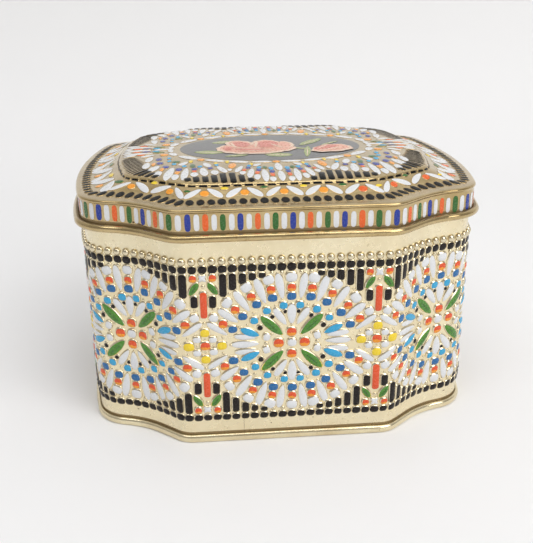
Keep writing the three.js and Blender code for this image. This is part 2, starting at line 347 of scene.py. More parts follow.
rings += [wring(o, z) for o, z in [(-1.4, 2.0), (-1.5, 2.4), (-1.9, 2.6)]]
rings += [sring(k, z) for k, z in [(0.862, 2.6), (0.854, 2.72), (0.843, 3.35), (0.838, 3.4)]]
v, f, which = rings_to_mesh(rings, tips=(3.9, 3.4))
base = make_object("base_sheet", v, face_out(v, f), [M_PLAIN, M_GOLD_BASE], "tin",
                   face_mat=[0 if w < FLOOR_RINGS else 1 for w in which])
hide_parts("base_panel")

# ---- lid sheet
CO, CZ, CR, CI = 2.1, 76.5, 1.3, 0.9     # rolled rim: centre (offset, height), outer and inner radius
TOP_Z, UNDER_Z = 92.1, 91.7               # the flat medallion and the sheet's underside there
SKIRT_RINGS = 7                           # rings of the skirt below the shoulder
top_rings = [mring(k, TOP_Z) for k in (0.25, 0.5, 0.75, 0.95, 1.0)]
M1 = mring(1.0, 0)
P0 = pring(0, 0)
for t, z in [(0.15, 92.08), (0.35, 92.02), (0.55, 91.93), (0.72, 91.8), (0.84, 91.62), (0.92, 91.38),
             (0.965, 91.12)]:
    top_rings.append(blend_ring(M1, P0, t, z))
top_rings += [pring(-0.25, 90.98), pring(0.05, 90.8), pring(0.3, 90.45), pring(0.45, 90.1), pring(0.7, 89.85),
              pring(1.1, 89.68)]
A1, B1 = pring(1.1, 0), wring(-6.8, 0)
for t, z in [(0.2, 89.2), (0.4, 88.6), (0.6, 87.95), (0.8, 87.35)]:
    top_rings.append(blend_ring(A1, B1, t, z))
top_rings += [wring(o, z) for o, z in [(-6.8, 86.92), (-5.4, 86.6), (-4.0, 86.38), (-2.5, 86.22), (-1.0, 86.12),
                                       (0.2, 86.1), (0.75, 86.06)]]
top_rings += [wring(o, z) for o, z in arc(0.95, 85.35, 0.68, 80, -40, 10)]
top_rings += [wring(o, z) for o, z in [(1.3, 84.75), (1.22, 84.55), (1.2, 84.3), (1.2, 81.0), (1.2, 78.75),
                                       (1.2, 78.0)]]
n_top = len(top_rings)
N_CURL = 26
curl_a = list(np.linspace(-180, 128, N_CURL))
lid_rings = list(top_rings)
lid_rings += [wring(CO + CI * math.cos(a * RAD), CZ + CI * math.sin(a * RAD)) for a in curl_a]
n_curl_in = len(lid_rings)
lid_rings += [wring(CO + CR * math.cos(a * RAD), CZ + CR * math.sin(a * RAD)) for a in reversed(curl_a)]
lid_rings += [wring(o, z) for o, z in [(0.8, 78.0), (0.8, 84.3), (0.88, 84.7), (1.05, 85.0), (0.95, 85.4),
                                       (0.6, 85.6), (0.2, 85.66), (-1.5, 85.7), (-4.5, 85.95), (-7.1, 86.5)]]
for t, z in [(0.25, 87.2), (0.5, 87.95), (0.75, 88.7)]:
    lid_rings.append(blend_ring(wring(-7.1, 0), pring(0.6, 0), t, z))
lid_rings += [pring(0.6, 89.3), pring(0.2, 89.55), pring(0.0, 90.0), pring(-0.3, 90.4), pring(-2.6, 91.05),
              pring(-6.5, 91.5), mring(1.0, UNDER_Z), mring(0.5, UNDER_Z)]
v, f, which = rings_to_mesh(lid_rings, tips=(TOP_Z, UNDER_Z))
# the skirt's foot and the top of the rolled rim are painted dark brown as the shade above the rim
mats = [1 if n_curl_in + N_CURL <= w + 1 else 2 if n_top - 2 <= w < n_curl_in + 4 else 0 for w in which]
f = face_out(v, f)
lid = make_object("lid_sheet", v, f, [M_GOLD_LID, M_PLAIN, M_CREVICE_SHADE], "lid", face_mat=mats)


def cut_box(ob, lo, hi):
    """Cuts a box out of an object's mesh."""
    x0, y0, z0 = lo
    x1, y1, z1 = hi
    vs = [(x, y, z) for x in (x0, x1) for y in (y0, y1) for z in (z0, z1)]
    fs = [(0, 1, 3, 2), (4, 6, 7, 5), (0, 4, 5, 1), (2, 3, 7, 6), (0, 2, 6, 4), (1, 5, 7, 3)]
    me = bpy.data.meshes.new("cutter")
    me.from_pydata([tuple(c * MM for c in p) for p in vs], [], fs)
    cut = bpy.data.objects.new("cutter", me)
    link(cut)
    md = ob.modifiers.new("notch", "BOOLEAN")
    md.operation = "DIFFERENCE"
    md.solver = "EXACT"
    md.object = cut
    dg = bpy.context.evaluated_depsgraph_get()
    new = bpy.data.meshes.new_from_object(ob.evaluated_get(dg))
    ob.modifiers.clear()
    old = ob.data
    ob.data = new
    bpy.data.meshes.remove(old)
    bpy.data.objects.remove(cut)


# notches in the back of the rim, where the two hinge tongues take hold of the wire
TONGUE_X, TONGUE_W, NOTCH_W = 23, 12.4, 14
for side in (-1, 1):
    cut_box(lid, (side * TONGUE_X - NOTCH_W / 2, HY + 0.5, 73), (side * TONGUE_X + NOTCH_W / 2, HY + 5, 78.3))
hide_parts("lid_shell")
tv, tf, _ = rings_to_mesh(top_rings[:n_top - SKIRT_RINGS], tips=(TOP_Z, None))
LID_TREE = BVHTree.FromPolygons([Vector(p) for p in tv], tf)


# ---- surfaces that tiles are laid on
SKIRT_OUT = 1.2


def on_wall(a, b):
    """Points and normals of the wall, from distances along the outline and heights."""
    x, y, nx, ny = WALL.at(a)
    z = np.zeros_like(nx)
    return np.stack([x, y, b + z], 1), np.stack([nx, ny, z], 1)


def on_skirt(a, b):
    """The same on the lid's skirt."""
    x, y, nx, ny = WALL.at(a)
    z = np.zeros_like(nx)
    return np.stack([x + nx * SKIRT_OUT, y + ny * SKIRT_OUT, b + z], 1), np.stack([nx, ny, z], 1)


def on_lid(a, b):
    """Points and normals of the lid top under x, y.

    A ray that slips between two faces is tried again a little beside it."""
    p, n = [], []
    down = Vector((0, 0, -1))
    for x, y in zip(a, b):
        for e in (0.0, 0.004, -0.007, 0.011):
            hit, nrm, _, _ = LID_TREE.ray_cast(Vector((float(x) + e, float(y) + 0.7 * e, 120.0)), down)
            if hit is not None:
                break
        if nrm.z < 0:
            nrm = -nrm
        p.append(hit)
        n.append(nrm)
    return np.array(p), np.array(n)


# ---- tile shapes
def shape(kind, a, b, m):
    """Outline of a tile of half sizes a (along) and b (across), as m points."""
    t = np.arange(m) / m * 2 * math.pi
    c, s = np.cos(t), np.sin(t)
    if kind in ("sq", "bar"):
        r = min(a, b) * 0.8
        corner = np.arange(m) * 4 // m
        turn_a = (corner + (np.arange(m) * 4 / m - corner) * m / max(m - 4, 1)) * math.pi / 2
        sx, sy = np.array([1, -1, -1, 1])[corner], np.array([1, 1, -1, -1])[corner]
        return np.stack([sx * (a - r) + r * np.cos(turn_a), sy * (b - r) + r * np.sin(turn_a)], 1)
    if kind == "egg":
        return np.stack([a * c, b * s * (1 + 0.26 * c)], 1)
    if kind == "leaf":
        return np.stack([a * c, b * s * np.abs(s) ** 0.3 * (1 + 0.1 * c)], 1)
    if kind == "pill":
        k = np.sign(c) * np.abs(c) ** 0.45
        return np.stack([a * k, b * np.sign(s) * np.abs(s) ** 0.8], 1)
    if kind == "star":
        r = 0.78 + 0.22 * np.cos(4 * t)
        return np.stack([a * r * c, b * r * s], 1)
    return np.stack([a * c, b * s], 1)


class Layer:
    """Collects many small tiles of one ink into one mesh."""

    def __init__(self):
        self.v, self.f, self.n = [], [], 0

    def add(self, pts, faces):
        self.v.append(pts)
        self.f += [tuple(i + self.n for i in p) for p in faces]
        self.n += len(pts)

    def build(self, name, mat, body_name, slot):
        return make_object(name, np.concatenate(self.v), self.f, [mat], body_name)


def fan_faces(m, rings):
    """Faces of rings from outside in, closed by a centre point."""
    out = []
    for r in range(rings - 1):
        for i in range(m):
            j = (i + 1) % m
            out.append((r * m + i, r * m + j, (r + 1) * m + j, (r + 1) * m + i))
    for i in range(m):
        out.append(((rings - 1) * m + i, (rings - 1) * m + (i + 1) % m, rings * m))
    return out


def tile(surface, layer, relief, at, ang, kind, a, b, height, m=18, shift=(-0.08, 0.24), margin=0.36, jit=0.1,
         other=None):
    """One tile: ink over an embossed pillow, slightly out of register, and the bare slope round it.

    other is (layer, test): ink faces for which test(x, y, r) is true go to that layer instead; x and y are
    in the surface's directions and r runs from 0 at the middle to 1 at the edge.
    Returns a function that lays more points on the same pillow."""
    ca, sa = math.cos(ang * RAD), math.sin(ang * RAD)
    size = 1 + rng.uniform(-0.05, 0.05)
    cx = at[0] + rng.uniform(-jit, jit)
    cy = at[1] + rng.uniform(-jit, jit)
    slip = rng.uniform(-0.09, 0.09, 2) if relief is not None else np.zeros(2)
    big = shape(kind, a * size + margin, b * size + margin, 96)
    ang_t = np.arctan2(big[:, 1], big[:, 0])
    rad_t = np.hypot(big[:, 0], big[:, 1])
    order = np.argsort(ang_t)
    ang_t, rad_t = ang_t[order], rad_t[order]
    gx, gy = shift[0] + slip[0], shift[1] + slip[1]
    ls = np.array([gx * ca + gy * sa, -gx * sa + gy * ca])

    def dome(q):
        d = q - ls
        edge = np.interp(np.arctan2(d[:, 1], d[:, 0]), ang_t, rad_t, period=2 * math.pi)
        r = np.hypot(d[:, 0], d[:, 1]) / edge
        return height * np.clip(1 - r ** 2.6, 0, 1) ** 0.6 + 0.03

    def place(q, extra=0.0):
        wx = cx + q[:, 0] * ca - q[:, 1] * sa
        wy = cy + q[:, 0] * sa + q[:, 1] * ca
        p, n = surface(wx, wy)
        return p + n * (dome(q) + extra)[:, None]

    o = shape(kind, a * size, b * size, m)
    ks = (1.0, 0.93, 0.8, 0.6, 0.32)
    q = np.concatenate([o * k for k in ks] + [np.zeros((1, 2))])
    pts = place(q)
    faces = fan_faces(m, len(ks))
    if other is None:
        layer.add(pts, faces)
    else:
        mid = [q[list(f)].mean(0) for f in faces]
        hit = [other[1](c[0] * ca - c[1] * sa, c[0] * sa + c[1] * ca, np.hypot(*(c / (a * size, b * size))))
               for c in mid]
        layer.add(pts, [f for f, h in zip(faces, hit) if not h])
        other[0].add(pts, [f for f, h in zip(faces, hit) if h])
    if relief is not None:
        out = ls + shape(kind, a * size + margin, b * size + margin, m)
        near = np.hypot(out[:, 0], out[:, 1]) < np.hypot(o[:, 0], o[:, 1]) * 1.02
        out[near] = o[near] * 1.03
        gaps = (0.0, 0.3, 0.62, 0.86, 1.0)
        q = np.concatenate([o + (out - o) * g for g in gaps])
        sink = np.zeros(len(q))
        sink[-m:] = -0.08
        slope = [(r * m + k, (r + 1) * m + k, (r + 1) * m + (k + 1) % m, r * m + (k + 1) % m)
                 for r in range(len(gaps) - 1) for k in range(m)]
        relief.add(place(q, sink), slope)

    def put(q, extra, target, faces):
        target.add(place(q, extra), faces)

    return put


def vein(put, layer, pts, w):
    """A thin printed line over a tile, through local points."""
    pts = np.array(pts, dtype=float)
    d = np.gradient(pts, axis=0)
    d /= np.linalg.norm(d, axis=1)[:, None] + 1e-9
    nrm = np.stack([-d[:, 1], d[:, 0]], 1)
    k = np.ones(len(pts))
    k[0] = k[-1] = 0.25
    q = np.concatenate([pts + nrm * (w * k)[:, None], pts - nrm * (w * k)[:, None]])
    n = len(pts)
    put(q, np.full(2 * n, 0.05), layer, [(i, n + i, n + i + 1, i + 1) for i in range(n - 1)])


INK = {"white": M_WHITE, "black": M_BLACK, "orange": M_ORANGE, "amber": M_AMBER, "yellow": M_YELLOW,
       "green": M_GREEN, "vein": M_GREEN_D, "blue": M_BLUE, "cyan": M_CYAN, "pearl": M_PEARL,
       "relief_a": M_RELIEF, "relief_b": M_RELIEF, "relief_c": M_RELIEF}
L = {k: Layer() for k in INK}

# ---- wall pattern
REPEATS, DOTS_PER_REPEAT = 8, 18
PITCH = WALL.length / (REPEATS * DOTS_PER_REPEAT)
PERIOD = DOTS_PER_REPEAT * PITCH
MID_Z = 37.4                              # height of the rosettes' centres
DOT_TOP_Z, DOT_LOW_Z, PEARL_Z = 65.2, 9.5, 68.0
BAR_END = 26.15                           # the stepped bars end this far above and below MID_Z
START = 1.4                               # the first rosette's centre, from the front centre
WHITE_GROWTH = 1.06


def wall_tile(ink, s, z, ang, kind, a, b, h=0.84, m=18, **kw):
    """A tile on the wall, given by its distance along the outline and its height."""
    if ink == "white":
        a, b = WHITE_GROWTH * a, WHITE_GROWTH * b
    zone = "relief_" + "abc"[int(np.mod(s + WALL.length / 2, WALL.length) / WALL.length * 2.999)]
    return tile(on_wall, L[ink], L[zone], (s, z), ang, kind, a, b, h, m=m, **kw)


def orange_tile(s, z, a, b):
    """Orange-red ink that turns amber towards its lower side."""
    tip = rng.uniform(-0.5, 0.25)
    wall_tile("orange", s, z, 0, "sq", a, b, m=16,
              other=(L["amber"], lambda x, y, r: y < -0.12 * b + tip * x and r < 0.97 and y < -0.05))


def leaf_tile(s, z, ang, a, b):
    """A green leaf with dark veins and a thin yellow lower edge."""
    put = wall_tile("green", s, z, ang, "leaf", a, b, m=28,
                    other=(L["yellow"], lambda x, y, r: r > 0.93 and y < -0.2))
    vein(put, L["vein"], [(-0.9 * a, 0), (-0.3 * a, 0.04), (0.3 * a, 0), (0.88 * a, 0)], 0.11)
    for t in (-0.5, -0.2, 0.1, 0.4):
        for e in (-1, 1):
            side_vein = [(t * a, 0), ((t + 0.13) * a, e * b * 0.38), ((t + 0.25) * a, e * b * 0.62)]
            vein(put, L["vein"], side_vein, 0.06)


def pearl(s, z, r, h, ink="pearl"):
    """A small round bead pressed out of the wall."""
    q = shape("round", r, r, 16)
    ks = (1.0, 0.94, 0.8, 0.58, 0.3)
    pts = np.concatenate([q * k for k in ks] + [np.zeros((1, 2))])
    hh = np.concatenate([np.full(16, h * math.sqrt(1 - k * k)) for k in ks] + [np.full(1, h)])
    hh[:16] = -0.03
    p, n = on_wall(s + pts[:, 0], z + pts[:, 1])
    L[ink].add(p + n * hh[:, None], fan_faces(16, 5))


def mirrored(items):
    """Each item's place, once in every quarter, with the two mirror signs before its other values."""
    for x, y, *rest in items:
        for fx in ((1, -1) if abs(x) > 1e-6 else (1,)):
            for fy in ((1, -1) if abs(y) > 1e-6 else (1,)):
                yield (x * fx, y * fy, fx, fy, *rest)


def around(centre, items):
    """The same round a place on the wall, at the height of the rosettes."""
    for x, y, *rest in mirrored(items):
        yield (centre + x, MID_Z + y, *rest)


def turn(ang, fx, fy):
    """An angle after the same mirroring as mirrored() gives its place."""
    return math.degrees(math.atan2(math.sin(ang * RAD) * fy, math.cos(ang * RAD) * fx))


for i in range(REPEATS):
    cs = START + i * PERIOD
    # rosette
    wall_tile("white", cs, MID_Z, 0, "sq", 1.5, 1.4)
    for s, z, fx, fy in around(cs, [(0, 4.1), (4.5, 0)]):
        orange_tile(s, z, 1.65, 1.6)
    for s, z, fx, fy in around(cs, [(6.9, 6.6)]):
        leaf_tile(s, z, turn(44, fx, fy), 5.3, 1.6)
    for s, z, fx, fy, r in around(cs, [(2.3, 11.6, 0.7), (6.6, 9.9, 0.8), (10.8, 6.0, 0.95)]):
        wall_tile("black", s, z, 0, "round", r, r, 0.4, m=12)
    for s, z, fx, fy, ang, a, b in around(cs, [
            (0, 10.7, 90, 3.5, 1.4), (3.9, 9.7, 56, 3.5, 1.15), (15.9, 2.75, 6, 3.6, 0.95),
            (16.1, 0, 0, 4.3, 1.1), (3.9, 20.9, 80, 4.4, 1.25), (10.6, 19.5, 70, 4.5, 1.25),
            (16.8, 16.0, 56, 4.3, 1.25), (21.7, 10.8, 37, 3.9, 1.25)]):
        wall_tile("white", s, z, turn(ang, fx, fy), "egg", a, b, 0.55)
    for x, y, fx, fy, a, b in mirrored([
            (8.7, 2.5, 1.3, 1.1), (0, 24.1, 1.75, 1.55), (7.7, 23.4, 1.8, 1.55), (15.3, 20.8, 1.7, 1.5),
            (21.9, 15.6, 1.75, 1.5), (26.5, 10.4, 1.35, 1.45)]):
        outwards = math.degrees(math.atan2(abs(y), abs(x) + 1e-6)) - 90
        wall_tile("white", cs + x, MID_Z + y, turn(outwards, fx, fy), "sq", a, b)
    for s, z, fx, fy in around(cs, [(14.4, 4.5)]):
        wall_tile("cyan", s, z, turn(24, fx, fy), "leaf", 3.5, 1.35)
    for s, z, fx, fy in around(cs, [(2.8, 13.9), (8.5, 12.1), (12.8, 8.7)]):
        wall_tile("cyan", s, z, 0, "sq", 1.35, 1.3, m=16)
    for s, z, fx, fy in around(cs, [(0, 17.2), (6.5, 16.8), (12.0, 14.6), (16.8, 10.5), (20.2, 5.9)]):
        wall_tile("blue", s, z, 0, "sq", 1.6, 1.4, m=16)
    for s, z, fx, fy in around(cs, [(0, 20.4), (7.0, 19.9), (13.8, 17.6), (19.2, 13.0), (23.3, 8.0)]):
        orange_tile(s, z, 1.45, 1.4)
    for s, z, fx, fy, r in around(cs, [
            (8.8, 0, 0.8), (0, 6.9, 0.5), (5.5, 13.8, 0.55), (10.5, 10.3, 0.5), (13.0, 11.5, 0.6),
            (18.9, 20.5, 0.5), (21.0, 18.9, 0.55), (17.9, 6.6, 0.5), (3.3, 26.3, 0.5), (6.6, 26.2, 0.5),
            (6.7, 3.3, 0.45), (12.3, 2.2, 0.45), (24.6, 13.6, 0.5), (15.2, 7.2, 0.45), (3.4, 16.2, 0.45),
            (9.9, 15.0, 0.45)]):
        pearl(s, z, r, r * 0.75)
    # column between two rosettes
    cc = cs + PERIOD / 2
    orange_tile(cc, MID_Z, 1.7, 1.6)
    for s, z, fx, fy, a, b in around(cc, [(0, 5.0, 1.6, 1.5), (5.6, 0, 1.7, 1.5)]):
        wall_tile("yellow", s, z, 0, "sq", a, b, m=16)
    for s, z, fx, fy in around(cc, [(2.8, 2.4)]):
        wall_tile("white", s, z, 0, "sq", 1.25, 1.05, m=14)
    for s, z, fx, fy in around(cc, [(4.2, 6.2)]):
        wall_tile("white", s, z, turn(145, fx, fy), "egg", 3.9, 1.0, 0.55)
    for s, z, fx, fy in around(cc, [(0, 24.6)]):
        wall_tile("white", s, z, 45, "star", 1.6, 1.6, m=16)
    for s, z, fx, fy in around(cc, [(3.35, 24.8)]):
        orange_tile(s, z, 1.2, 1.25)
    for s, z, fx, fy in around(cc, [(3.15, 21.0)]):
        leaf_tile(s, z, turn(125, fx, fy), 2.7, 1.15)
    for s, z, fx, fy in around(cc, [(0, 15.0)]):
        wall_tile("orange", s, z, 90, "bar", 4.95, 1.2, m=24)
    for s, z, fx, fy in around(cc, [(3.15, 16.3)]):
        wall_tile("black", s, z, 90, "bar", 2.2, 1.2, m=20)
    for s, z, fx, fy, r in around(cc, [(0, 21.8, 0.75), (3.1, 13.4, 0.5), (2.85, 0, 0.45), (0, 2.45, 0.4),
                                     (0, 8.5, 0.6), (8.7, 0, 0.55), (6.0, 3.0, 0.5)]):
        pearl(s, z, r, r * 0.75)
    # dot rows, pearl row and the stepped bars
    for k in range(-DOTS_PER_REPEAT // 2, DOTS_PER_REPEAT // 2):
        s = cs + k * PITCH
        wall_tile("black", s, DOT_TOP_Z, 0, "sq", 1.45, 1.4, 0.7, m=20, jit=0.06, margin=0.2)
        wall_tile("black", s, DOT_LOW_Z, 0, "sq", 1.45, 1.3, 0.7, m=20, jit=0.06, margin=0.2)
        x, y, _, _ = WALL.at(s - 0.1)
        if y < 0 or abs(abs(x) - TONGUE_X) > NOTCH_W / 2 + 1:     # none under the hinge tongues
            pearl(s - 0.1, PEARL_Z, 1.45, 1.3)
    for k, half in ((3, 0.95), (4, 1.4), (5, 1.95), (6, 2.95), (7, 4.1)):
        for e in (-1, 1):
            for fy in (-1, 1):
                z = MID_Z + fy * (BAR_END - half)
                wall_tile("black", cs + e * k * PITCH, z, 90, "bar", half, 1.22, m=24, jit=0.05)
            pearl(cs + e * k * PITCH, 12.3, 0.75, 1.0, "black")
    for k in (-2, -1, 1, 2):
        pearl(cs + k * PITCH, 63.1, 0.8, 0.65)
        pearl(cs + k * PITCH, 12.0, 0.8, 0.65)

for name, layer in L.items():
    layer.build("body_" + name, INK[name], "tin", "body_tinplate")

# ---- marks of use
marks_wall, marks_lid = Layer(), Layer()


def mark(surface, layer, s, z, a, b, rough=0.25, m=20):
    """A thin irregular worn spot or scratch, lying on a surface."""
    t = np.arange(m) / m * 2 * math.pi
    r = 1 + rough * (np.sin(2 * t + rng.uniform(0, 6)) + 0.6 * np.sin(5 * t + rng.uniform(0, 6)))
    o = np.stack([a * r * np.cos(t), b * r * np.sin(t)], 1)
    pts = np.concatenate([o, o * 0.5, np.zeros((1, 2))])
    p, n = surface(s + pts[:, 0], z + pts[:, 1])
    layer.add(p + n * 0.02, fan_faces(m, 2))


mark(on_wall, marks_wall, -15.7, 5.9, 0.05, 2.6, 0.1)
for s, z, a, b in [(-22.5, 9.2, 0.5, 0.22), (9.0, 7.4, 0.3, 0.12), (31.0, 8.6, 0.35, 0.16),
                   (-6.0, 6.0, 0.3, 0.12), (-58.0, 7.0, 0.4, 0.2), (66.0, 6.6, 0.45, 0.2)]:
    mark(on_wall, marks_wall, s, z, a, b)
for s, z, a, b in [(-50.6, 78.9, 1.3, 0.32), (-48.2, 78.5, 0.9, 0.24), (-53.4, 79.3, 0.6, 0.3),
                   (-45.4, 78.7, 0.5, 0.2), (-60.0, 79.2, 0.4, 0.2), (18.0, 78.8, 0.4, 0.15),
                   (57.0, 79.0, 0.6, 0.25)]:
    mark(on_skirt, marks_lid, s, z, a, b)
marks_wall.build("wear_wall", M_WEAR, "tin", "body_tinplate")
marks_lid.build("wear_lid", M_WEAR, "lid", "lid_tinplate")

# ---- lid: printed pills round the skirt
P = {k: Layer() for k in ("white", "orange", "green", "royal")}
N_PILL = 168
PILL_Z, PILL_WANDER = 80.9, 0.9           # the printed row isn't quite level round the lid
for i in range(N_PILL):
    s = START + 0.3 + i * WALL.length / N_PILL
    ink = "white" if i % 2 else ("royal", "orange", "green")[(i // 2) % 3]
    z = PILL_Z + PILL_WANDER * math.sin(s / WALL.length * 2 * math.pi + 2.6)
    half_length, half_width = (2.75, 0.92) if i % 2 else (2.85, 0.98)
    tile(on_skirt, P[ink], None, (s, z), 90, "pill", half_length, half_width, 0.02, m=20, jit=0.06, margin=0.1)
for name, mat in (("white", M_WHITE), ("orange", M_ORANGE_LID), ("green", M_GREEN_LID), ("royal", M_ROYAL)):
    P[name].build("lid_pills_" + name, mat, "lid", "lid_tinplate")

# ---- lid top pattern
T_INK = {"relief": M_RELIEF_LID, "white": M_WHITE, "black": M_BLACK_LID, "orange": M_ORANGE_LID,
         "amber": M_AMBER, "yellow": M_YELLOW, "green": M_GREEN_LID, "royal": M_ROYAL, "cyan": M_CYAN,
         "medallion": M_MED, "rose_pink": M_PINK, "rose_light": M_ROSE, "rose_cream": M_CREAM,
         "rose_leaf": M_SAGE}
T = {k: Layer() for k in T_INK}
SIDE_FROM, SIDE_OVER = 63.0, 7.0          # |x| where the lid's side bands begin, and how soon they are full


class Track:
    """A line across the lid top, walked by its own length, with the direction inwards."""

    def __init__(self, outline, off, side_off=0.0):
        s = np.linspace(0, outline.length, 4000)
        x, _, nx, ny = outline.at(s)
        self.wide = np.clip((np.abs(x) - SIDE_FROM) / SIDE_OVER, 0, 1)
        self.wide = self.wide ** 2 * (3 - 2 * self.wide)
        x, y = outline.point(s, off + side_off * self.wide)
        d = np.concatenate([[0], np.cumsum(np.hypot(np.diff(x), np.diff(y)))])
        self.length, self.d, self.x, self.y, self.nx, self.ny = d[-1], d, x, y, nx, ny

    def width(self, t):
        """0 along the front and back of the lid, 1 along its two sides."""
        return float(np.interp(t % self.length, self.d, self.wide))

    def at(self, t):
        w = t % self.length
        x, y, nx, ny = (float(np.interp(w, self.d, a)) for a in (self.x, self.y, self.nx, self.ny))
        return x, y, -nx, -ny


def lid_tile(ink, x, y, ang, kind, a, b, h=0.12):
    """A tile on the lid top; h is its height above that of a plain dash."""
    tile(on_lid, T[ink], T["relief"], (x, y), ang, kind, a, b, h + 0.12, m=14, shift=(0, 0.06), margin=0.22,
         jit=0.06)


def radial(track, t, inwards=0.0):
    """A place beside a track, and the angle that points inwards there."""
    x, y, nx, ny = track.at(t)
    return x + nx * inwards, y + ny * inwards, math.degrees(math.atan2(ny, nx))


DOTS = 130
dots = Track(WALL, -4.7, 2.5)
for i in range(DOTS):
    x, y, a = radial(dots, i * dots.length / DOTS)
    lid_tile("black", x, y, a, "round", 2.3 - 0.8 * dots.width(i * dots.length / DOTS), 1.38, 0.2)
band = Track(WALL, -9.3, 1.9)
quarter = band.length / 4
STEPS = (0, 13.2, 26.5, 41.2, 57.0, 72.6, 88.2, quarter)
marks = []
for q in range(4):
    for t in STEPS[:-1]:
        marks.append(q * quarter + t if q % 2 == 0 else (q + 1) * quarter - t)
marks.append(quarter)
marks.append(3 * quarter)
marks = sorted(set(round(t % band.length, 4) for t in marks))
for i, t in enumerate(marks):
    wide = band.width(t)
    x, y, a = radial(band, t, -0.9 * wide)
    lid_tile("amber" if x < 14 else "orange", x, y, a, "round", 1.05 + 0.4 * wide, 1.5)
    for e in (-1, 1):
        gap = (marks[(i + e) % len(marks)] - t) * e % band.length / 2
        x0, y0, _ = radial(band, t + e * 0.9, 1.9 + 2.4 * wide)
        x1, y1, _ = radial(band, t + e * (gap - 0.45), -1.5 - 1.7 * wide)
        ln = math.hypot(x1 - x0, y1 - y0)
        petal_a = math.degrees(math.atan2(y1 - y0, x1 - x0))
        lid_tile("white", (x0 + x1) / 2, (y0 + y1) / 2, petal_a, "egg", ln / 2, 1.0 + 1.05 * wide)
    x, y, a = radial(band, t + gap, 1.9 + 2.0 * wide)
    lid_tile("green" if i % 2 else "yellow", x, y, a, "round", 0.55 + 0.35 * wide, 1.3 + 0.9 * wide)
DASHES = 100
edge = Track(PAN, 0.55, 0.5)
for i in range(DASHES):
    x, y, a = radial(edge, i * edge.length / DASHES)
    lid_tile("black", x, y, a, "sq", 0.28 + 0.5 * edge.width(i * edge.length / DASHES), 1.4, 0.0)


def strip(ink, kind, x0, y0, x1, y1, w, h=0.16):
    """A lid tile from one end to the other, repeated in the four quarters."""
    ln = math.hypot(x1 - x0, y1 - y0)
    for fx in ((1, -1) if abs(x0) + abs(x1) > 0.01 else (1,)):
        for fy in ((1, -1) if abs(y0) + abs(y1) > 0.01 else (1,)):
            ang = math.degrees(math.atan2((y1 - y0) * fy, (x1 - x0) * fx))
            lid_tile(ink, (x0 + x1) / 2 * fx, (y0 + y1) / 2 * fy, ang, kind, ln / 2, w / 2, h)


W, O, A, Y, G, R, C, K = "white", "orange", "amber", "yellow", "green", "royal", "cyan", "black"
